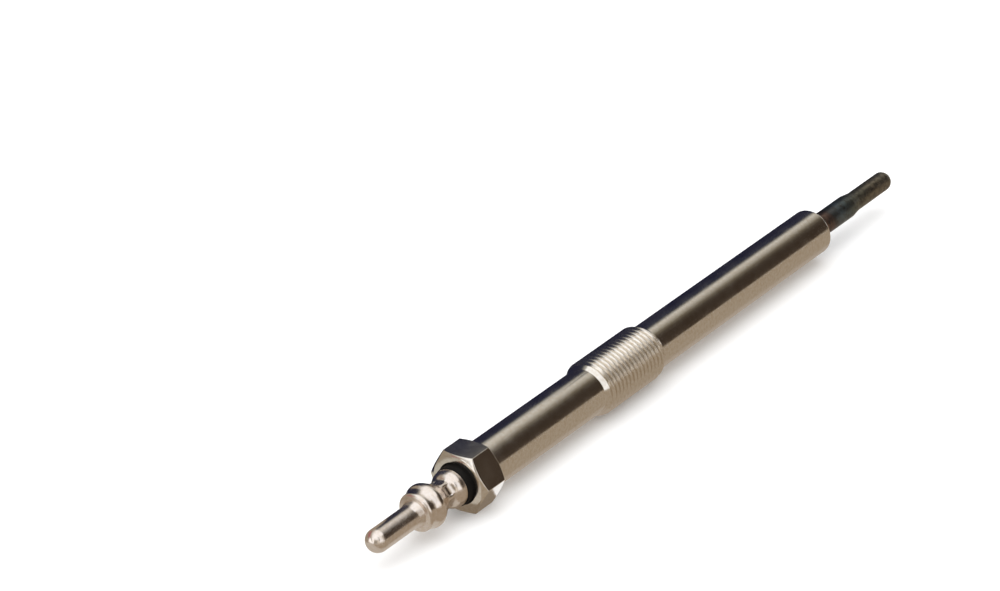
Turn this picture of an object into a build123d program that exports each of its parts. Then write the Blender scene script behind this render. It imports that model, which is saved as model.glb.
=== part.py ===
# Diesel glow plug: a pin terminal, a steel body with hexagon and thread, and a metal-sheath heater.
# Millimetres. The plug lies along X, terminal at -X and heater tip at +X, on a flat of its hexagon.
# The origin is on the axis, at the middle of the thread.
import os
from math import cos, pi, radians, tan
from build123d import *

# Body, from the hexagon to the nose
hex_across_flats = 10.0
hex_thickness = 5.5
hex_face_diameter = 9.4
hex_cone_angle = 60
front_shank_diameter = 8.3
front_shank_length = 29.1
thread_diameter = 9.85
thread_length = 16.9
thread_cone_angle = 30
rear_shank_diameter = 8.25
rear_shank_length = 51.4
nose_round = 0.4

# Bore of the body, from the mouth in the hexagon to the nose
mouth_diameter = 7.1
mouth_chamfer = 0.15
rod_bore_diameter = 4.8
drill_cone_angle = 59
press_length = 14.0

# Terminal cap, in lengths that start at the tip of its pin
pin_diameter = 4.0
pin_length = 9.95
flare_length = 1.2
flare_diameter = 4.66
collar_face_height = 0.25
collar_diameter = 6.68
collar_chamfer = 0.3
collar_length = 1.15
bead_rise_length = 0.9
bead_diameter = 7.66
bead_width = 0.75
taper_length = 2.4
neck_diameter = 4.9
neck_length = 1.7
skirt_rise_length = 1.0
skirt_diameter = 6.48
skirt_chamfer = 0.2
skirt_length = 1.2
skirt_to_hex = 1.4
rod_depth_in_cap = 8.2

# Crimps that the jaws of a crimping tool press into the neck
crimp_count = 6
crimp_first_angle = 20
crimp_floor_diameter = 4.24
crimp_width = 1.9
crimp_length = 2.1

# Centre rod: its front end is turned down for the cap, its rear end for the coil
rod_diameter = 3.6
rod_front_diameter = 3.0
rod_neck_diameter = 1.9
rod_neck_before_tube = 2.0

# Insulating bush and rubber ring in the mouth
bush_collar_diameter = 6.8
bush_depth = 3.0
bush_gap = 0.05
ring_width = 1.8
ring_gap = 0.03
ring_play = 0.3

# Heater sheath and its seal
tube_diameter = 4.2
tube_wall = 0.45
tube_reach = 11.3
swage_length = 2.2
thin_diameter = 3.55
heater_reach = 24.9
seal_length = 4.0

# Coils of resistance wire, as sleeves
control_wire = 0.4
control_length = 13.6
control_on_rod = 3.0
control_to_swage = 1.1
heating_wire = 0.35
heating_coil_diameter = 1.75
coil_to_coil = 0.5
coil_to_tip = 0.4

# Radii that several pieces share
thread_radius = thread_diameter / 2
mouth_radius = mouth_diameter / 2
rod_radius = rod_diameter / 2
rod_front_radius = rod_front_diameter / 2
rod_neck_radius = rod_neck_diameter / 2
rod_bore_radius = rod_bore_diameter / 2
tube_radius = tube_diameter / 2
tube_bore_radius = tube_radius - tube_wall
thin_radius = thin_diameter / 2
thin_bore_radius = thin_radius - tube_wall

# Places along the axis
thread_front = -thread_length / 2
thread_rear = thread_length / 2
hex_rear = thread_front - front_shank_length
hex_front = hex_rear - hex_thickness
bush_rear = hex_front + bush_depth
mouth_floor = bush_rear + ring_width + ring_play
skirt_end = hex_front - skirt_to_hex
nose = thread_rear + rear_shank_length
tube_rear = nose - press_length
seal_end = tube_rear + seal_length
tube_swage = nose + tube_reach
thin_start = tube_swage + swage_length
tube_tip = nose + heater_reach
tip_centre = tube_tip - thin_radius
control_end = tube_swage - control_to_swage
control_start = control_end - control_length
rod_end = control_start + control_on_rod
heating_start = control_end + coil_to_coil
heating_end = tip_centre - coil_to_tip


def cone_run(first_radius, second_radius, angle):
    """Length along the axis of a cone between two radii, its side at angle to the axis."""
    return abs(second_radius - first_radius) / tan(radians(angle))


# Body shell: the hexagon is trimmed by a double cone, so its corners end in the curved edges of a turned bar
hex_corner_radius = hex_across_flats / 2 / cos(pi / 6)
hex_face_radius = hex_face_diameter / 2
hex_cone = cone_run(hex_face_radius, hex_corner_radius, hex_cone_angle)
front_shank_radius = front_shank_diameter / 2
rear_shank_radius = rear_shank_diameter / 2
thread_front_cone = cone_run(front_shank_radius, thread_radius, thread_cone_angle)
thread_rear_cone = cone_run(rear_shank_radius, thread_radius, thread_cone_angle)
mouth_cone = cone_run(mouth_radius, rod_bore_radius, drill_cone_angle)
press_cone = cone_run(rod_bore_radius, tube_radius, drill_cone_angle)

with BuildPart() as body_shell:
    with BuildSketch(Plane.YZ.offset(hex_front)):
        RegularPolygon(hex_across_flats / 2, 6, major_radius=False)
    extrude(amount=hex_thickness)
    with BuildSketch():
        with BuildLine():
            Polyline(
                (hex_front, 0),
                (hex_front, hex_face_radius),
                (hex_front + hex_cone, hex_corner_radius),
                (hex_rear - hex_cone, hex_corner_radius),
                (hex_rear, hex_face_radius),
                (hex_rear, 0),
                close=True,
            )
        make_face()
    revolve(axis=Axis.X, mode=Mode.INTERSECT)
    with BuildSketch() as shank_section:
        with BuildLine():
            Polyline(
                (hex_rear, 0),
                (hex_rear, front_shank_radius),
                (thread_front, front_shank_radius),
                (thread_front + thread_front_cone, thread_radius),
                (thread_rear - thread_rear_cone, thread_radius),
                (thread_rear, rear_shank_radius),
                (nose, rear_shank_radius),
                (nose, 0),
                close=True,
            )
        make_face()
        nose_edge = shank_section.vertices().group_by(Axis.X)[-1].sort_by(Axis.Y)[-1]
        fillet(nose_edge, radius=nose_round)
    revolve(axis=Axis.X)
    with BuildSketch():
        with BuildLine():
            Polyline(
                (hex_front, 0),
                (hex_front, mouth_radius + mouth_chamfer),
                (hex_front + mouth_chamfer, mouth_radius),
                (mouth_floor, mouth_radius),
                (mouth_floor + mouth_cone, rod_bore_radius),
                (tube_rear - press_cone, rod_bore_radius),
                (tube_rear, tube_radius),
                (nose, tube_radius),
                (nose, 0),
                close=True,
            )
        make_face()
    revolve(axis=Axis.X, mode=Mode.SUBTRACT)
body_shell.part.label = "body_shell"

# Terminal cap: pin, collar, bead, neck and skirt are one turned outline. Its places follow one another
# from the skirt, which stands on the bush, to the tip
pin_radius = pin_diameter / 2
flare_radius = flare_diameter / 2
collar_radius = collar_diameter / 2
bead_radius = bead_diameter / 2
neck_radius = neck_diameter / 2
skirt_radius = skirt_diameter / 2
skirt_top = skirt_end - skirt_length
neck_rear = skirt_top - skirt_rise_length
neck_front = neck_rear - neck_length
bead_rear = neck_front - taper_length
bead_front = bead_rear - bead_width
collar_rear = bead_front - bead_rise_length
collar_front = collar_rear - collar_length - collar_chamfer
flare_rear = collar_front - collar_face_height
flare_front = flare_rear - flare_length
pin_front = flare_front - pin_length + pin_radius
rod_front = skirt_end - rod_depth_in_cap

with BuildPart() as terminal_cap:
    with BuildSketch():
        with BuildLine():
            CenterArc((pin_front, 0), pin_radius, 180, -90)
            Polyline(
                (pin_front, pin_radius),
                (flare_front, pin_radius),
                (flare_rear, flare_radius),
                (collar_front, collar_radius - collar_chamfer),
                (collar_front + collar_chamfer, collar_radius),
                (collar_rear, collar_radius),
                (bead_front, bead_radius),
                (bead_rear, bead_radius),
                (neck_front, neck_radius),
                (neck_rear, neck_radius),
                (skirt_top - skirt_chamfer, skirt_radius - skirt_chamfer),
                (skirt_top, skirt_radius),
                (skirt_end, skirt_radius),
                (skirt_end, 0),
                (pin_front - pin_radius, 0),
            )
        make_face()
    revolve(axis=Axis.X)
    with BuildSketch(Plane.YZ.offset((neck_front + neck_rear - crimp_length) / 2)):
        with PolarLocations((crimp_floor_diameter + crimp_width) / 2, crimp_count, crimp_first_angle):
            Rectangle(crimp_width, crimp_width)
    extrude(amount=crimp_length, mode=Mode.SUBTRACT)
    with BuildSketch(Plane.YZ.offset(skirt_end)):
        Circle(rod_front_radius)
    extrude(amount=-rod_depth_in_cap, mode=Mode.SUBTRACT)
terminal_cap.part.label = "terminal_cap"

# Centre rod: from the bore of the cap, through the body, to the necked end that carries the control coil
rod_step = tube_rear - rod_neck_before_tube
rod_cone = cone_run(rod_radius, rod_neck_radius, drill_cone_angle)

with BuildPart() as centre_rod:
    with BuildSketch():
        with BuildLine():
            Polyline(
                (rod_front, 0),
                (rod_front, rod_front_radius),
                (skirt_end, rod_front_radius),
                (skirt_end, rod_radius),
                (rod_step - rod_cone, rod_radius),
                (rod_step, rod_neck_radius),
                (rod_end, rod_neck_radius),
                (rod_end, 0),
                close=True,
            )
        make_face()
    revolve(axis=Axis.X)
centre_rod.part.label = "centre_rod"

# Insulating bush: it fills the mouth round the rod, and its collar carries the skirt of the cap
with BuildPart() as insulating_bush:
    with BuildSketch():
        with BuildLine():
            Polyline(
                (skirt_end, rod_radius + bush_gap),
                (skirt_end, bush_collar_diameter / 2),
                (hex_front, bush_collar_diameter / 2),
                (hex_front + mouth_chamfer, mouth_radius - bush_gap),
                (bush_rear, mouth_radius - bush_gap),
                (bush_rear, rod_radius + bush_gap),
                close=True,
            )
        make_face()
    revolve(axis=Axis.X)
insulating_bush.part.label = "insulating_bush"

# Rubber ring of square section between the rod and the mouth, behind the bush
with BuildPart() as seal_ring:
    with BuildSketch(Plane.YZ.offset(bush_rear)):
        Circle(mouth_radius - ring_gap)
        Circle(rod_radius + ring_gap, mode=Mode.SUBTRACT)
    extrude(amount=ring_width)
seal_ring.part.label = "seal_ring"

# Heater sheath: a tube of even wall, swaged thinner in front of the nose and closed by a round end
sheath_floor = tip_centre + cone_run(0, thin_bore_radius, drill_cone_angle)

with BuildPart() as heater_sheath:
    with BuildSketch():
        with BuildLine():
            Polyline(
                (tube_rear, tube_bore_radius),
                (tube_rear, tube_radius),
                (tube_swage, tube_radius),
                (thin_start, thin_radius),
                (tip_centre, thin_radius),
            )
            CenterArc((tip_centre, 0), thin_radius, 90, -90)
            Polyline(
                (tube_tip, 0),
                (sheath_floor, 0),
                (tip_centre, thin_bore_radius),
                (thin_start, thin_bore_radius),
                (tube_swage, tube_bore_radius),
                (tube_rear, tube_bore_radius),
            )
        make_face()
    revolve(axis=Axis.X)
heater_sheath.part.label = "heater_sheath"

# Rubber seal that closes the rear of the sheath round the necked rod
with BuildPart() as tube_seal:
    with BuildSketch(Plane.YZ.offset(tube_rear)):
        Circle(tube_bore_radius)
        Circle(rod_neck_radius, mode=Mode.SUBTRACT)
    extrude(amount=seal_length)
tube_seal.part.label = "tube_seal"


# Coils: each is a sleeve as thick as its wire. The control coil is welded to the end of the rod,
# and the heating coil fills the thin run of the sheath up to its tip
control_outer_radius = rod_neck_radius + control_wire
heating_outer_radius = (heating_coil_diameter + heating_wire) / 2
heating_inner_radius = heating_outer_radius - heating_wire

with BuildPart() as control_coil:
    with BuildSketch(Plane.YZ.offset(control_start)):
        Circle(control_outer_radius)
        Circle(rod_neck_radius, mode=Mode.SUBTRACT)
    extrude(amount=control_length)
control_coil.part.label = "control_coil"

with BuildPart() as heating_coil:
    with BuildSketch(Plane.YZ.offset(heating_start)):
        Circle(heating_outer_radius)
        Circle(heating_inner_radius, mode=Mode.SUBTRACT)
    extrude(amount=heating_end - heating_start)
heating_coil.part.label = "heating_coil"

# Magnesia: the packed powder fills the sheath from the seal to the tip, inside and outside the coils
with BuildPart() as magnesia_filling:
    with BuildSketch():
        with BuildLine():
            Polyline(
                (sheath_floor, 0),
                (rod_end, 0),
                (rod_end, rod_neck_radius),
                (seal_end, rod_neck_radius),
                (seal_end, tube_bore_radius),
                (tube_swage, tube_bore_radius),
                (thin_start, thin_bore_radius),
                (tip_centre, thin_bore_radius),
                close=True,
            )
        make_face()
    revolve(axis=Axis.X)
    add(control_coil.part, mode=Mode.SUBTRACT)
    add(heating_coil.part, mode=Mode.SUBTRACT)
magnesia_filling.part.label = "magnesia_filling"

pieces = [
    body_shell,
    terminal_cap,
    centre_rod,
    insulating_bush,
    seal_ring,
    heater_sheath,
    tube_seal,
    control_coil,
    heating_coil,
    magnesia_filling,
]
os.makedirs("parts", exist_ok=True)
for piece in pieces:
    export_step(piece.part, f"parts/{piece.part.label}.step")
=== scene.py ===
# Diesel glow plug: the dressed model with its floor, light and camera.
# The frame is the CAD model's: X along the plug with the heater tip at +X, Z up, the origin in mid thread.
# Outlines are in millimetres, and add_mesh turns them into metres. Places of the stage are in metres.
from math import atan, cos, floor, pi, radians, sin, sqrt, tan

import bpy
from mathutils import Matrix, Vector


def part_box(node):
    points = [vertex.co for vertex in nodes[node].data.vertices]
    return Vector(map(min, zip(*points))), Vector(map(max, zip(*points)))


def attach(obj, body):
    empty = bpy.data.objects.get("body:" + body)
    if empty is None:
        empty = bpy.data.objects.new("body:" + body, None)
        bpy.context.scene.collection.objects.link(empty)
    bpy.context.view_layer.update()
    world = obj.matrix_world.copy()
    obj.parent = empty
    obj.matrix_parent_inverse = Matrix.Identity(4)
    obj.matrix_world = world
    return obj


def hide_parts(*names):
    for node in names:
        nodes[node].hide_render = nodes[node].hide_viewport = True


MM = 0.001
TURN = 2 * pi

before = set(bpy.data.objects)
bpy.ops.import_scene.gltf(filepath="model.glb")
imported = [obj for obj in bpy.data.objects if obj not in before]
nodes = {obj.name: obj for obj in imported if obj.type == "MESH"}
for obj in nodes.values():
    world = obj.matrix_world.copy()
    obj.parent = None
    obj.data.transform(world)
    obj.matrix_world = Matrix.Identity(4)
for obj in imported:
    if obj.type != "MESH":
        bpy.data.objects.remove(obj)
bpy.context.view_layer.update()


def span(node):
    """Lowest and highest corner of a CAD node, in millimetres."""
    low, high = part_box(node)
    return Vector(low) / MM, Vector(high) / MM


# Places that the frame gives
body_low, body_high = span("body_shell")
cap_low, cap_high = span("terminal_cap")
sheath_low, sheath_high = span("heater_sheath")
hex_front = body_low.x
nose = body_high.x
hex_apothem = body_high.z
cap_tip = cap_low.x
skirt_end = cap_high.x
bush_rear = span("insulating_bush")[1].x
tube_rear = sheath_low.x
tube_tip = sheath_high.x
floor_height = body_low.z * MM

# Body, with the offsets from the hexagon's corners in degrees
hex_thickness = 5.5
hex_face_radius = 4.7
hex_cone_angle = radians(60)
hex_corner_round = 0.14
hex_edge = 0.07
hex_step = pi / 3
hex_corner_offsets = (-1.6, -1.0, -0.7, -0.35, 0.0, 0.35, 0.7, 1.0, 1.6)
hex_flat_columns = 27
front_shank_radius = 4.15
rear_shank_radius = 4.125
shank_fillet = 0.2
thread_radius = 4.925
thread_length = 16.9
thread_cone_angle = radians(30)
thread_flank_angle = radians(30)
thread_pitch = 1.0
thread_crest = 0.07
thread_depth = 0.6
thread_shift = -0.19
nose_round = 0.4
mouth_radius = 3.55
mouth_chamfer = 0.15
mouth_depth = 5.1
rod_bore_radius = 2.4
drill_angle = radians(59)
tube_radius = 2.1

# Terminal cap
pin_radius = 2.0
flare_radius = 2.33
collar_radius = 3.34
bead_radius = 3.83
neck_radius = 2.45
skirt_radius = 3.24
flare_length = 1.2
collar_face_height = 0.25
collar_length = 1.45
bead_rise_length = 0.9
bead_width = 0.75
taper_length = 2.4
neck_length = 1.7
skirt_rise_length = 1.0
skirt_length = 1.2
rod_depth_in_cap = 8.2
rod_front_radius = 1.5
crimp_count = 6
crimp_first_angle = radians(20)
crimp_floor = 2.12
crimp_width = 1.9
crimp_length = 2.1
crimp_edge = 0.35
crimp_reach = 0.45
crimp_rows = 46
flare_front_round = 2.0
flare_rear_round = 0.08
collar_front_round = 0.55
collar_rear_round = 2.4
bead_front_round = 1.3
bead_rear_round = 1.2
skirt_top_round = 1.7
skirt_end_round = 0.05

# Bush and heater sheath
bush_collar_radius = 3.4
bush_radius = 3.5
bush_bore_radius = 1.85
bush_collar_round = 0.12
bush_seat_round = 0.03
tube_wall = 0.45
tube_reach = 11.3
swage_length = 2.2
swage_round = 1.5
thin_radius = 1.775

# Fineness of the skins
cap_columns = 240
turned_columns = 144
dome_steps = 14
shade_guard = 0.05
dome_guard = 0.02
sharp_angle = radians(35)

# Places worked out from those
hex_rear = hex_front + hex_thickness
thread_front = -thread_length / 2
thread_rear = thread_length / 2
mouth_floor = hex_front + mouth_depth
tube_swage = nose + tube_reach
thin_start = tube_swage + swage_length
tip_centre = tube_tip - thin_radius
thin_bore_radius = thin_radius - tube_wall
skirt_top = skirt_end - skirt_length
neck_rear = skirt_top - skirt_rise_length
neck_front = neck_rear - neck_length
bead_rear = neck_front - taper_length
bead_front = bead_rear - bead_width
collar_rear = bead_front - bead_rise_length
collar_front = collar_rear - collar_length
flare_rear = collar_front - collar_face_height
flare_front = flare_rear - flare_length


class Skin:
    """Points and faces of one piece round the X axis, in millimetres. Points that coincide are one."""

    def __init__(self, angles):
        self.angles = angles
        self.points = []
        self.faces = []
        self.known = {}

    def point(self, column, x, radius):
        angle = self.angles[column]
        spot = (round(x, 5), round(radius * cos(angle), 5), round(radius * sin(angle), 5))
        if spot not in self.known:
            self.known[spot] = len(self.points)
            self.points.append(spot)
        return self.known[spot]

    def ring(self, x, radius):
        """A ring of points. x and radius may each be a number, or a function of the angle."""
        places = []
        for column, angle in enumerate(self.angles):
            here = x(angle) if callable(x) else x
            size = radius(angle) if callable(radius) else radius
            places.append(self.point(column, here, size))
        return places

    def face(self, corners):
        distinct = list(dict.fromkeys(corners))
        if len(distinct) > 2:
            self.faces.append(distinct)

    def band(self, first, second):
        for column in range(len(self.angles)):
            after = (column + 1) % len(self.angles)
            self.face([first[column], first[after], second[after], second[column]])

    def join(self, rings, closed=False):
        for first, second in zip(rings, rings[1:]):
            self.band(first, second)
        if closed:
            self.band(rings[-1], rings[0])


def add_mesh(name, skin):
    mesh = bpy.data.meshes.new(name)
    mesh.from_pydata([Vector(p) * MM for p in skin.points], [], skin.faces)
    mesh.polygons.foreach_set("use_smooth", [True] * len(mesh.polygons))
    mesh.set_sharp_from_angle(angle=sharp_angle)
    mesh.update()
    obj = bpy.data.objects.new(name, mesh)
    bpy.context.scene.collection.objects.link(obj)
    return obj


def even_angles(count):
    return [TURN * k / count for k in range(count)]


def soften(corners, steps=5, guard=0.04):
    """An outline from corners (x, radius, round). Each round becomes an arc, with a guard point on each side
    that keeps the shading of the long stretches flat."""
    outline = []
    count = len(corners)
    for k, (x, radius, size) in enumerate(corners):
        here = Vector((x, radius))
        if size == 0:
            outline.append((x, radius))
            continue
        back = (Vector(corners[k - 1][:2]) - here).normalized()
        ahead = (Vector(corners[(k + 1) % count][:2]) - here).normalized()
        half = back.angle(ahead) / 2
        reach = size / tan(half)
        centre = here + (back + ahead).normalized() * size / sin(half)
        start = here + back * reach - centre
        end = here + ahead * reach - centre
        sweep = start.angle_signed(end)
        outline.append(tuple(here + back * (reach + guard)))
        for step in range(steps + 1):
            spoke = Matrix.Rotation(-sweep * step / steps, 2) @ start
            outline.append(tuple(centre + spoke))
        outline.append(tuple(here + ahead * (reach + guard)))
    return outline


def smooth_step(value):
    value = min(max(value, 0.0), 1.0)
    return value * value * (3 - 2 * value)


# Body: hexagon, shanks, thread, nose and stepped bore in one skin
def hex_angles():
    """Angles of the body's columns, closer together at the six corners of the hexagon."""
    reach = hex_corner_offsets[-1]
    gap = 60 - 2 * reach
    columns = hex_flat_columns
    angles = []
    for corner in range(6):
        middle = 60 * corner
        angles += [radians(middle + offset) for offset in hex_corner_offsets]
        angles += [radians(middle + reach + gap * k / (columns + 1)) for k in range(1, columns + 1)]
    return angles


def hex_radius(angle):
    """Radius of the hexagon's section, with its corners slightly rounded. A corner points along +Y."""
    half_step = hex_step / 2
    corner_distance = (hex_apothem - hex_corner_round) / cos(half_step)
    tangent_angle = atan(
        hex_corner_round * sin(half_step) / (corner_distance + hex_corner_round * cos(half_step))
    )
    off_corner = (angle + half_step) % hex_step - half_step
    if abs(off_corner) < tangent_angle:
        along = corner_distance * cos(off_corner)
        return along + sqrt(hex_corner_round ** 2 - (corner_distance * sin(off_corner)) ** 2)
    off_flat = angle % hex_step - half_step
    return hex_apothem / cos(off_flat)


def hex_rings(skin, face_x, direction):
    """Rings of one chamfered end of the hexagon, from its face towards its middle."""
    slope = tan(hex_cone_angle)
    lip = hex_edge * 0.3
    # Each row lies so far past the chamfer's end and so far inside the hexagon, counted in hex_edge
    rows = ((-1.6, 1.6 * slope), (-0.5, 0.5 * slope), (0.0, 0.35), (0.9, 0.0), (1.8, 0.0))

    def chamfer_end(angle):
        return (hex_radius(angle) - hex_face_radius) / slope

    rings = [skin.ring(face_x, hex_face_radius - hex_edge)]
    rings.append(skin.ring(face_x + direction * lip, hex_face_radius + lip))
    for back, inset in rows:
        rings.append(
            skin.ring(
                lambda angle: face_x + direction * (chamfer_end(angle) + back * hex_edge),
                lambda angle: hex_radius(angle) - inset * hex_edge,
            )
        )
    return rings


def thread_profile(phase):
    """Radius of the thread at a phase of its pitch, where a whole number is the middle of a crest."""
    off_crest = abs(phase - floor(phase + 0.5)) * thread_pitch
    depth = (off_crest - thread_crest) / tan(thread_flank_angle)
    return thread_radius - min(max(depth, 0.0), thread_depth)


def thread_rings(skin):
    """The helical rows of a right-handed thread, cut off by a cone at each end."""
    phases = (0.0, 0.05, 0.09, 0.17, 0.26, 0.35, 0.42, 0.5, 0.58, 0.65, 0.74, 0.83, 0.91, 0.95)
    per_pitch = len(phases)
    spare_turns = 2
    first_turn = floor(thread_front / thread_pitch) - spare_turns
    last_turn = floor(thread_rear / thread_pitch) + spare_turns
    rows = []
    for turn in range(first_turn, last_turn + 1):
        for phase in phases:
            row = []
            for column, angle in enumerate(skin.angles):
                x = thread_pitch * (turn + phase + angle / TURN) + thread_shift
                x = min(max(x, thread_front), thread_rear)
                front_cone = front_shank_radius + (x - thread_front) * tan(thread_cone_angle)
                rear_cone = rear_shank_radius + (thread_rear - x) * tan(thread_cone_angle)
                profile = thread_profile((x - thread_shift) / thread_pitch - angle / TURN)
                row.append(skin.point(column, x, min(profile, front_cone, rear_cone)))
            rows.append(row)
    last = len(skin.angles) - 1
    for k in range(len(rows) - 1):
        first, second = rows[k], rows[k + 1]
        for column in range(last):
            skin.face([first[column], first[column + 1], second[column + 1], second[column]])
    # Past the last column a row goes on as the row one pitch further along
    for k in range(len(rows) - per_pitch - 1):
        skin.face([rows[k][last], rows[k + per_pitch][0], rows[k + per_pitch + 1][0], rows[k + 1][last]])


def build_body():
    skin = Skin(hex_angles())
    face_ring = skin.ring(hex_front, mouth_radius + mouth_chamfer)
    front = hex_rings(skin, hex_front, 1)
    rear = hex_rings(skin, hex_rear, -1)[::-1]
    shank = [
        skin.ring(x, radius)
        for x, radius in soften(
            [
                (hex_rear, hex_face_radius - 2 * hex_edge, 0),
                (hex_rear, front_shank_radius, shank_fillet),
                (thread_front - shade_guard, front_shank_radius, 0),
                (thread_front, front_shank_radius, 0),
            ]
        )
    ]
    skin.join([face_ring] + front + rear + shank)
    thread_rings(skin)
    press_cone = (rod_bore_radius - tube_radius) / tan(drill_angle)
    mouth_cone = (mouth_radius - rod_bore_radius) / tan(drill_angle)
    rest = soften(
        [
            (thread_rear, rear_shank_radius, 0),
            (thread_rear + shade_guard, rear_shank_radius, 0),
            (nose, rear_shank_radius, nose_round),
            (nose, tube_radius, 0),
            (tube_rear, tube_radius, 0),
            (tube_rear - press_cone, rod_bore_radius, 0),
            (mouth_floor + mouth_cone, rod_bore_radius, 0),
            (mouth_floor, mouth_radius, 0),
            (hex_front + mouth_chamfer, mouth_radius, 0),
        ]
    )
    skin.join([skin.ring(x, radius) for x, radius in rest] + [face_ring])
    return add_mesh("glow_plug_body", skin)


# Terminal cap: a turned outline, with the crimps pressed into its neck
def crimp_depth(x, radius, angle):
    """Radius at a point of the cap once the nearest crimp is pressed in, with soft edges."""
    step = TURN / crimp_count
    off_centre = (angle - crimp_first_angle + step / 2) % step - step / 2
    across = abs(radius * sin(off_centre))
    along = abs(x - (neck_front + neck_rear) / 2)
    inside = smooth_step((crimp_width / 2 - across) / crimp_edge + 0.5)
    inside *= smooth_step((crimp_length / 2 - along) / crimp_edge + 0.5)
    hollow = (neck_radius - crimp_floor) * (2 * along / crimp_length) ** 2
    pressed = min(radius, (crimp_floor + hollow) / cos(off_centre))
    return radius + (pressed - radius) * inside


def neck_outline(x):
    """Radius of the neck and of the cones on each side of it, without crimps."""
    if x < neck_front:
        return neck_radius + (neck_front - x) * (bead_radius - neck_radius) / taper_length
    if x > neck_rear:
        return neck_radius + (x - neck_rear) * (skirt_radius - neck_radius) / skirt_rise_length
    return neck_radius


def build_cap():
    skin = Skin(even_angles(cap_columns))
    outline = [
        (cap_tip + pin_radius * (1 - cos(pi / 2 * k / dome_steps)), pin_radius * sin(pi / 2 * k / dome_steps))
        for k in range(dome_steps + 1)
    ]
    outline += soften(
        [
            (cap_tip + pin_radius + shade_guard, pin_radius, 0),
            (flare_front, pin_radius, flare_front_round),
            (flare_rear, flare_radius, flare_rear_round),
            (collar_front, collar_radius, collar_front_round),
            (collar_rear, collar_radius, collar_rear_round),
            (bead_front, bead_radius, bead_front_round),
            (bead_rear, bead_radius, bead_rear_round),
            (neck_front - crimp_reach, neck_outline(neck_front - crimp_reach), 0),
        ]
    )
    row_step = (neck_length + 2 * crimp_reach) / crimp_rows
    row_places = [neck_front - crimp_reach + row_step * k for k in range(1, crimp_rows)]
    outline += [(x, neck_outline(x)) for x in row_places]
    outline += soften(
        [
            (neck_rear + crimp_reach, neck_outline(neck_rear + crimp_reach), 0),
            (skirt_top, skirt_radius, skirt_top_round),
            (skirt_end, skirt_radius, skirt_end_round),
            (skirt_end, rod_front_radius, 0),
            (skirt_end - rod_depth_in_cap, rod_front_radius, 0),
        ]
    )
    rings = []
    for x, radius in outline:
        if neck_front - crimp_reach <= x <= neck_rear + crimp_reach and radius > rod_front_radius:
            rings.append(skin.ring(x, lambda angle: crimp_depth(x, radius, angle)))
        else:
            rings.append(skin.ring(x, radius))
    rings.append(skin.ring(skirt_end - rod_depth_in_cap, 0))
    skin.join(rings)
    return add_mesh("glow_plug_terminal", skin)


def build_bush():
    skin = Skin(even_angles(turned_columns))
    outline = soften(
        [
            (skirt_end, bush_bore_radius, 0),
            (skirt_end, bush_collar_radius, bush_collar_round),
            (hex_front, bush_collar_radius, bush_seat_round),
            (hex_front + mouth_chamfer, bush_radius, 0),
            (bush_rear, bush_radius, 0),
            (bush_rear, bush_bore_radius, 0),
        ]
    )
    skin.join([skin.ring(x, radius) for x, radius in outline], closed=True)
    return add_mesh("terminal_bush", skin)


def build_sheath():
    skin = Skin(even_angles(turned_columns))
    outline = soften(
        [
            (tube_rear, tube_radius, 0),
            (nose, tube_radius, 0),
            (tube_swage, tube_radius, swage_round),
            (thin_start, thin_radius, swage_round),
            (tip_centre - dome_guard, thin_radius, 0),
        ]
    )
    outline += [
        (tip_centre + thin_radius * sin(pi / 2 * k / dome_steps), thin_radius * cos(pi / 2 * k / dome_steps))
        for k in range(dome_steps + 1)
    ]
    outline += [
        (tip_centre + thin_bore_radius / tan(drill_angle), 0),
        (tip_centre, thin_bore_radius),
        (thin_start, thin_bore_radius),
        (tube_swage, tube_radius - tube_wall),
        (tube_rear, tube_radius - tube_wall),
    ]
    skin.join([skin.ring(x, radius) for x, radius in outline], closed=True)
    return add_mesh("heater_tube", skin)


# Materials
def set_stops(node, stops):
    """Give a colour ramp its stops, each a place along it and a colour."""
    marks = node.color_ramp.elements
    while len(marks) < len(stops):
        marks.new(1.0)
    for mark, (position, color) in zip(marks, stops):
        mark.position = position
        mark.color = (*color, 1)


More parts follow.
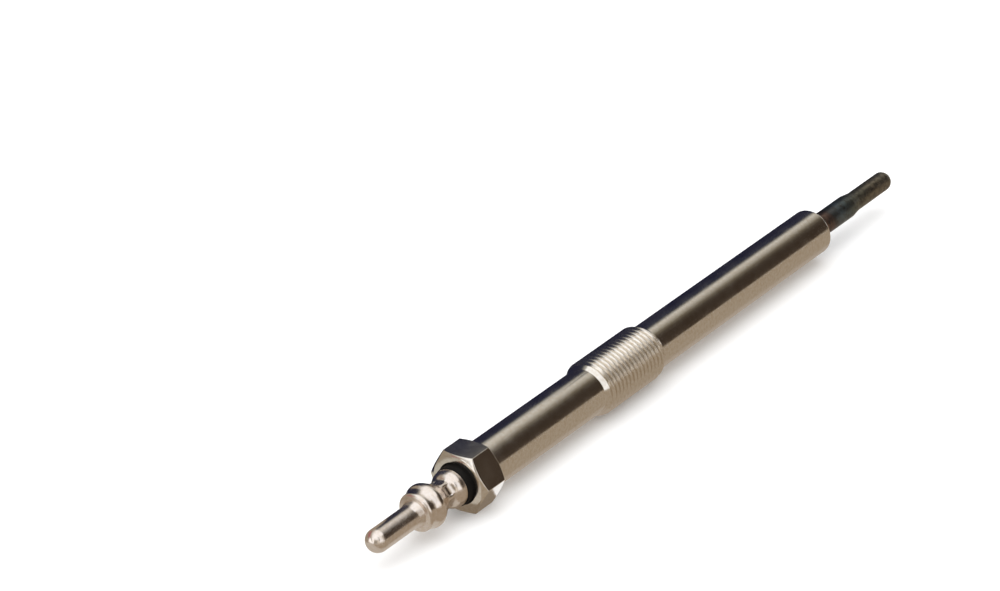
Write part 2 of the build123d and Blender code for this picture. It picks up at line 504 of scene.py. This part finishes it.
class Shader:
    """A procedural node material round one Principled shader."""

    def __init__(self, name, color, metallic, roughness):
        self.material = bpy.data.materials.new(name)
        self.material.use_nodes = True
        self.tree = self.material.node_tree
        self.shader = self.tree.nodes["Principled BSDF"]
        self.shader.inputs["Base Color"].default_value = (*color, 1)
        self.shader.inputs["Metallic"].default_value = metallic
        self.shader.inputs["Roughness"].default_value = roughness
        self.place = self.tree.nodes.new("ShaderNodeTexCoord").outputs["Object"]

    def node(self, kind, **inputs):
        made = self.tree.nodes.new(kind)
        for name, value in inputs.items():
            self.put(made.inputs[name.replace("_", " ")], value)
        return made

    def put(self, socket, value):
        if isinstance(value, bpy.types.NodeSocket):
            self.tree.links.new(value, socket)
        else:
            socket.default_value = value

    def stretch(self, scale):
        """Object coordinates with each axis scaled."""
        return self.node("ShaderNodeMapping", Vector=self.place, Scale=scale).outputs["Vector"]

    def noise(self, scale, detail=3.0, roughness=0.55, place=None):
        made = self.node(
            "ShaderNodeTexNoise", Vector=place or self.place, Scale=scale, Detail=detail, Roughness=roughness
        )
        return made.outputs["Fac"]

    def remap(self, value, low, high, start=0.3, end=0.7):
        """The value spread from low at start to high at end."""
        made = self.node("ShaderNodeMapRange", Value=value)
        made.inputs["From Min"].default_value = start
        made.inputs["From Max"].default_value = end
        made.inputs["To Min"].default_value = low
        made.inputs["To Max"].default_value = high
        return made.outputs["Result"]

    def ramp(self, value, stops):
        made = self.node("ShaderNodeValToRGB", Fac=value)
        set_stops(made, stops)
        return made.outputs["Color"]

    def mix(self, amount, first, second):
        made = self.tree.nodes.new("ShaderNodeMix")
        made.data_type = "RGBA"
        for socket, value in (("Factor", amount), ("A", first), ("B", second)):
            self.put(made.inputs[socket], value)
        return made.outputs["Result"]

    def bump(self, height, distance, under=None):
        made = self.node("ShaderNodeBump", Height=height, Strength=1.0)
        made.inputs["Distance"].default_value = distance
        if under:
            self.put(made.inputs["Normal"], under)
        return made.outputs["Normal"]


def nickel(name, color, roughness, grain, lines):
    """Plated turned steel: fine turning lines, a slight mottle and a few duller patches."""
    patch_scale = 320
    grain_scale = 2600
    mottle_scale = 1700
    line_scale = (9000, 60, 60)
    glossiest = 0.75
    dullest = 1.35
    warmth = (0.92, 0.88, 0.82)
    made = Shader(name, color, 1.0, roughness)
    patches = made.noise(patch_scale, detail=4)
    fine = made.noise(grain_scale)
    gloss = made.remap(patches, roughness * glossiest, roughness * dullest)
    made.put(made.shader.inputs["Roughness"], gloss)
    warm = tuple(channel * factor for channel, factor in zip(color, warmth))
    mottle = made.noise(mottle_scale, detail=6, roughness=0.7)
    made.put(made.shader.inputs["Base Color"], made.ramp(mottle, [(0.34, warm), (0.58, color)]))
    turned = made.noise(1, detail=2, place=made.stretch(line_scale))
    under = made.bump(turned, lines)
    made.put(made.shader.inputs["Normal"], made.bump(fine, grain, under=under))
    return made.material


def heater_metal(name):
    """Heat-tinted sheath: the colours run along X, from brown at the nose to blue at the swage and olive."""
    tints = [
        (0.0, (0.28, 0.20, 0.15)),
        (0.08, (0.25, 0.16, 0.12)),
        (0.15, (0.17, 0.11, 0.09)),
        (0.20, (0.11, 0.11, 0.11)),
        (0.28, (0.15, 0.19, 0.21)),
        (0.38, (0.14, 0.17, 0.17)),
        (0.50, (0.18, 0.18, 0.14)),
        (0.75, (0.26, 0.22, 0.16)),
        (1.0, (0.27, 0.24, 0.19)),
    ]
    soot_color = (0.08, 0.07, 0.06, 1)
    wander_reach = 0.0008
    wander_scale = 500
    soot_scale = 1300
    gloss_scale = 900
    grain_scale = 2400
    made = Shader(name, (0.2, 0.17, 0.14), 1.0, 0.34)
    split = made.node("ShaderNodeSeparateXYZ", Vector=made.place)
    wander = made.remap(made.noise(wander_scale, detail=4), -wander_reach, wander_reach)
    along = made.node("ShaderNodeMath")
    along.operation = "ADD"
    made.put(along.inputs[0], split.outputs["X"])
    made.put(along.inputs[1], wander)
    share = made.remap(along.outputs[0], 0.0, 1.0, start=nose * MM, end=tube_tip * MM)
    tint = made.ramp(share, tints)
    soot = made.remap(made.noise(soot_scale, detail=5), 0.0, 1.0, start=0.42, end=0.75)
    made.put(made.shader.inputs["Base Color"], made.mix(soot, tint, soot_color))
    made.put(made.shader.inputs["Roughness"], made.remap(made.noise(gloss_scale), 0.36, 0.46))
    made.put(made.shader.inputs["Normal"], made.bump(made.noise(grain_scale), 0.00001))
    return made.material


def plain_material(name, color, metallic, roughness, grain_scale, grain, vary):
    """A plain surface with slight variation of colour, gloss and grain."""
    shade_scale = grain_scale / 4
    gloss_scale = grain_scale / 3
    made = Shader(name, color, metallic, roughness)
    darker = tuple(channel * vary for channel in color)
    shades = made.ramp(made.noise(shade_scale), [(0.3, darker), (0.7, color)])
    gloss = made.remap(made.noise(gloss_scale), roughness * 0.85, roughness * 1.2)
    made.put(made.shader.inputs["Base Color"], shades)
    made.put(made.shader.inputs["Roughness"], gloss)
    made.put(made.shader.inputs["Normal"], made.bump(made.noise(grain_scale), grain))
    return made.material


# The plug
def dress(obj, material):
    obj.data.materials.clear()
    obj.data.materials.append(material)


body_metal = nickel("plated_body_nickel", (0.78, 0.73, 0.66), 0.16, grain=0.000004, lines=0.0000003)
cap_metal = nickel("plated_terminal_nickel", (0.78, 0.70, 0.63), 0.21, grain=0.000006, lines=0.0000006)
bush_resin = plain_material(
    "bush_black_resin", (0.006, 0.005, 0.004), 0.0, 0.55, grain_scale=2500, grain=0.00001, vary=0.6
)
bush_resin.node_tree.nodes["Principled BSDF"].inputs["Specular IOR Level"].default_value = 0.12
rubber = plain_material(
    "black_seal_rubber", (0.02, 0.02, 0.02), 0.0, 0.7, grain_scale=3000, grain=0.00002, vary=0.7
)
rod_steel = plain_material(
    "drawn_rod_steel", (0.55, 0.55, 0.54), 1.0, 0.35, grain_scale=3000, grain=0.00001, vary=0.85
)
wire_metal = plain_material(
    "resistance_wire_metal", (0.45, 0.43, 0.40), 1.0, 0.4, grain_scale=3000, grain=0.00001, vary=0.8
)
powder = plain_material(
    "magnesia_powder", (0.85, 0.84, 0.80), 0.0, 0.95, grain_scale=6000, grain=0.00004, vary=0.9
)

for build, node, material, slot in (
    (build_body, "body_shell", body_metal, "plated_body"),
    (build_cap, "terminal_cap", cap_metal, "plated_terminal"),
    (build_bush, "insulating_bush", bush_resin, "black_bush"),
    (build_sheath, "heater_sheath", heater_metal("heat_tinted_sheath"), "tinted_sheath"),
):
    piece = build()
    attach(piece, "root")
    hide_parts(node)
    dress(piece, material)

for node, material, slot in (
    ("centre_rod", rod_steel, "bare_steel"),
    ("seal_ring", rubber, "black_rubber"),
    ("tube_seal", rubber, "black_rubber"),
    ("control_coil", wire_metal, "resistance_wire"),
    ("heating_coil", wire_metal, "resistance_wire"),
    ("magnesia_filling", powder, "packed_powder"),
):
    dress(nodes[node], material)


# Stage: a plain pale floor, soft light, and panels that only the metal's reflections see
def add_sheet(name, points, material):
    """A flat four-cornered object of the stage."""
    mesh = bpy.data.meshes.new(name)
    mesh.from_pydata(points, [], [(0, 1, 2, 3)])
    obj = bpy.data.objects.new(name, mesh)
    bpy.context.scene.collection.objects.link(obj)
    mesh.materials.append(material)
    return obj


def glow_material(name):
    """An emission material without its colour."""
    material = bpy.data.materials.new(name)
    material.use_nodes = True
    tree = material.node_tree
    tree.nodes.clear()
    glow = tree.nodes.new("ShaderNodeEmission")
    out = tree.nodes.new("ShaderNodeOutputMaterial")
    tree.links.new(glow.outputs[0], out.inputs["Surface"])
    return material, tree, glow


def add_panel(name, corner, first_side, second_side, stops, across=False, power=1.0):
    """A flat glowing panel, from one corner along two sides. Its colours run along the first side, or along
    the second where across is set."""
    corner, first_side, second_side = Vector(corner), Vector(first_side), Vector(second_side)
    points = [corner, corner + first_side, corner + first_side + second_side, corner + second_side]
    material, tree, glow = glow_material(name)
    glow.inputs["Strength"].default_value = power
    if len(stops) == 1:
        glow.inputs["Color"].default_value = (*stops[0][1], 1)
    else:
        side = second_side if across else first_side
        place = tree.nodes.new("ShaderNodeTexCoord")
        split = tree.nodes.new("ShaderNodeSeparateXYZ")
        share = tree.nodes.new("ShaderNodeMapRange")
        colors = tree.nodes.new("ShaderNodeValToRGB")
        set_stops(colors, stops)
        axis = max(range(3), key=lambda k: abs(side[k]))
        tree.links.new(place.outputs["Object"], split.inputs["Vector"])
        tree.links.new(split.outputs[axis], share.inputs["Value"])
        share.inputs["From Min"].default_value = corner[axis]
        share.inputs["From Max"].default_value = corner[axis] + side[axis]
        tree.links.new(share.outputs["Result"], colors.inputs["Fac"])
        tree.links.new(colors.outputs["Color"], glow.inputs["Color"])
    obj = add_sheet(name, points, material)
    obj.visible_camera = False
    obj.visible_diffuse = False
    obj.visible_shadow = False
    obj.visible_transmission = False


def add_floor():
    reach = 6.0
    paper = plain_material(
        "floor_paper", (0.88, 0.88, 0.88), 0.0, 0.9, grain_scale=400, grain=0.00001, vary=0.995
    )
    corners = ((-reach, -reach), (reach, -reach), (reach, reach), (-reach, reach))
    add_sheet("floor", [(x, y, floor_height) for x, y in corners], paper)


def add_light(name, place, width, power):
    """A soft white square light aimed at the origin. The metal's reflections don't see it."""
    data = bpy.data.lights.new(name, "AREA")
    data.shape = "SQUARE"
    data.size = width
    data.energy = power
    obj = bpy.data.objects.new(name, data)
    obj.location = place
    obj.rotation_euler = (-Vector(place)).to_track_quat("-Z", "Y").to_euler()
    bpy.context.scene.collection.objects.link(obj)
    obj.visible_glossy = False


add_floor()
add_light("soft_top_light", (0.2, 0.1, 1.2), width=1.6, power=8)
add_light("soft_side_light", (-1.0, 0.5, 0.7), width=0.9, power=2)

# Colours of the panels
NAVY = (0.013, 0.014, 0.037)
SLATE = (0.020, 0.023, 0.048)
MIST = (0.11, 0.11, 0.115)
PALE_MIST = (0.32, 0.32, 0.31)
RED = (0.40, 0.17, 0.17)
CLAY = (0.36, 0.31, 0.25)
BROWN = (0.046, 0.033, 0.024)
DARK_BROWN_GREY = (0.075, 0.060, 0.045)
DARK_GREY = (0.08, 0.075, 0.08)
# Colour of the panel that paints a dark reflection on the terminal's dome
DARK_REFLECTION_GREY = (0.14, 0.12, 0.10)
EARTH = (0.27, 0.22, 0.17)
UMBER = (0.27, 0.24, 0.2)
OCHRE = (0.46, 0.40, 0.34)
STONE = (0.46, 0.44, 0.39)
TAN = (0.19, 0.165, 0.13)
DIM = (0.42, 0.37, 0.31)
SOFT = (0.58, 0.56, 0.51)
PEARL = (0.67, 0.65, 0.61)
GREY = (0.28, 0.265, 0.235)
SAND = (0.41, 0.345, 0.27)
PALE_SAND = (0.60, 0.56, 0.51)
WHITE = (0.98, 1.0, 1.04)

# Places of the panels, in metres
ground = floor_height + 0.00002
layer_gap = 0.0001
wall_y = 0.0152
wall_height = 0.019
wall_top = 0.0138
wall_end = -0.079
light_end = -0.0475
far_wall = 0.022
dim_wall_end = -0.3
dim_wall_height = 0.02
shade_y = 0.005
shade_width = 0.0102
contact_y = -0.0048
contact_width = 0.0098
roof = 0.35
roof_end = -1.6
roof_near = -1.5
roof_edge = -0.28
dim_start = 0.05
dark_start = 0.22
near_wall_y = -0.9
near_wall_length = 4.0
near_wall_foot = 0.07


def add_ground(name, x, y, length, width, color, lift=0.0, power=1.0):
    add_panel(name, (x, y, ground + lift), (length, 0, 0), (0, width, 0), [(0, color)], power=power)


def add_low_wall(name, x, length, height, stops, z=ground, lift=0.0):
    add_panel(name, (x, wall_y + lift, z), (length, 0, 0), (0, 0, height), stops, across=True)


# The wall behind, low and dark, with a paler end, a small red patch and a dim wall above it
light_length = light_end - wall_end
end_fade = [(0.0, CLAY), (0.35, SOFT), (0.7, WHITE), (1.0, WHITE)]
near_fade = [(0.0, SLATE), (0.25, SLATE), (0.4, MIST), (0.56, PALE_MIST), (1.0, SOFT)]
far_fade = [(0.0, SLATE), (0.34, SLATE), (0.52, MIST), (0.7, PALE_MIST), (1.0, SOFT)]
add_low_wall("low_wall", light_end, 0.155, wall_height, [(0, NAVY)])
add_low_wall("light_wall", wall_end, light_length, wall_height, [(0, CLAY)])
add_low_wall("red_patch", -0.074, 0.015, 0.0088, [(0, RED)], z=0.0052, lift=-layer_gap)
for name, x, length, height, stops in (
    ("end_dim_wall", dim_wall_end, light_end - dim_wall_end, dim_wall_height, end_fade),
    ("dim_wall", light_end, far_wall - light_end, dim_wall_height, near_fade),
    ("far_dim_wall", far_wall, 0.4, 0.036, far_fade),
):
    add_low_wall(name, x, length, height, stops, z=wall_top, lift=layer_gap)

# The ground: shaded in front of the wall, pale under the plug, sandy on the near side
for name, x, length, color in (
    ("end_shaded_ground", -0.07, 0.043, SOFT),
    ("shaded_ground", -0.027, 0.057, GREY),
    ("far_shaded_ground", 0.03, 0.1, DARK_GREY),
):
    add_ground(name, x, shade_y, length, shade_width, color)
add_ground("end_ground", -0.4, contact_y, 0.33, 0.3, PALE_SAND)
add_ground("near_ground", -0.4, -0.6, 1.8, 0.5952, SAND)
for name, x, length, color in (
    ("cap_ground", -0.07, 0.0242, PALE_SAND),
    ("face_ground", -0.0458, 0.0088, EARTH),
    ("shank_ground", -0.037, 0.154, OCHRE),
):
    add_ground(name, x, contact_y, length, contact_width, color)
add_ground("hex_ground", -0.0368, -0.0058, 0.0038, 0.0043, WHITE, lift=0.00001, power=1.1)

# The roof: bright over the terminal, dimmer over the near side, and past the heater dark except on the
# far side
bright_length = dark_start - roof_end
near_bright_length = dim_start - roof_end
near_dim_length = dark_start - dim_start
near_depth = roof_edge - roof_near
roof_fade = [
    (0.0, BROWN),
    (0.49, BROWN),
    (0.55, DARK_BROWN_GREY),
    (0.585, TAN),
    (0.62, STONE),
    (0.655, PEARL),
    (1.0, PEARL),
]
for name, x, y, length, depth, stops, power in (
    ("fading_roof", dark_start, roof_near, 2.3, 2.4, roof_fade, 1.0),
    ("bright_roof", roof_end, roof_edge, bright_length, 1.2, [(0, WHITE)], 1.25),
    ("near_bright_roof", roof_end, roof_near, near_bright_length, near_depth, [(0, WHITE)], 1.1),
    ("near_dim_roof", dim_start, roof_near, near_dim_length, near_depth, [(0, DIM)], 1.0),
):
    add_panel(name, (x, y, roof), (length, 0, 0), (0, depth, 0), stops, across=True, power=power)

# The wall on the near side and the one beyond the terminal, with a dark panel above the terminal that paints
# a dark reflection on the terminal's dome
near_wall_fade = [(0.0, WHITE), (0.41, WHITE), (0.45, DIM), (0.52, BROWN), (1.0, BROWN)]
end_wall_fade = [
    (0.0, TAN),
    (0.06, PALE_SAND),
    (0.24, PALE_SAND),
    (0.34, TAN),
    (0.46, UMBER),
    (0.48, WHITE),
    (1.0, WHITE),
]
near_wall_side = (near_wall_length, 0, 0)
add_panel(
    "near_wall",
    corner=(roof_end, near_wall_y, near_wall_foot),
    first_side=near_wall_side,
    second_side=(0, 0, roof - near_wall_foot),
    stops=near_wall_fade,
    power=1.2,
)
add_panel(
    "near_low_wall",
    corner=(roof_end, near_wall_y, floor_height),
    first_side=near_wall_side,
    second_side=(0, 0, 0.075),
    stops=[(0, SAND)],
)
add_panel(
    "end_wall",
    corner=(-0.55, -0.9, 0.0),
    first_side=(0, 1.8, 0),
    second_side=(0, 0, 0.5),
    stops=end_wall_fade,
    power=1.4,
)
# Painted dark reflection: a dark glowing panel that only the reflections see, darkening the terminal's dome
add_panel(
    "dark_reflection_panel",
    corner=(-0.21, -0.2, 0.1),
    first_side=(0.05, 0, 0),
    second_side=(0, 0, 0.25),
    stops=[(0, DARK_REFLECTION_GREY)],
)

world = bpy.data.worlds.new("studio")
bpy.context.scene.world = world
world.use_nodes = True
background = world.node_tree.nodes["Background"]
background.inputs["Color"].default_value = (1.0, 1.0, 1.0, 1)
background.inputs["Strength"].default_value = 1.25

# Camera at the photograph's viewing angle
camera_aim = Vector((0.0120, 0.0328, 0.0))
camera_distance = 0.6601
camera_heading = radians(38.49)
camera_dip = radians(27.29)
camera_roll = radians(-3.62)
camera_lens = 138.06
camera_sensor = 36.0


def add_camera():
    forward = Vector(
        (cos(camera_dip) * cos(camera_heading), cos(camera_dip) * sin(camera_heading), -sin(camera_dip))
    )
    level_right = forward.cross(Vector((0, 0, 1))).normalized()
    level_up = level_right.cross(forward)
    right = cos(camera_roll) * level_right + sin(camera_roll) * level_up
    up = right.cross(forward)
    data = bpy.data.cameras.new("photo_camera")
    data.lens = camera_lens
    data.sensor_width = camera_sensor
    data.sensor_fit = "HORIZONTAL"
    data.clip_start = 0.01
    data.clip_end = 20
    obj = bpy.data.objects.new("photo_camera", data)
    place = camera_aim - forward * camera_distance
    obj.matrix_world = Matrix(
        (
            (right.x, up.x, -forward.x, place.x),
            (right.y, up.y, -forward.y, place.y),
            (right.z, up.z, -forward.z, place.z),
            (0, 0, 0, 1),
        )
    )
    bpy.context.scene.collection.objects.link(obj)
    bpy.context.scene.camera = obj


add_camera()
bpy.context.scene.view_settings.view_transform = "Standard"
bpy.context.scene.view_settings.look = "None"
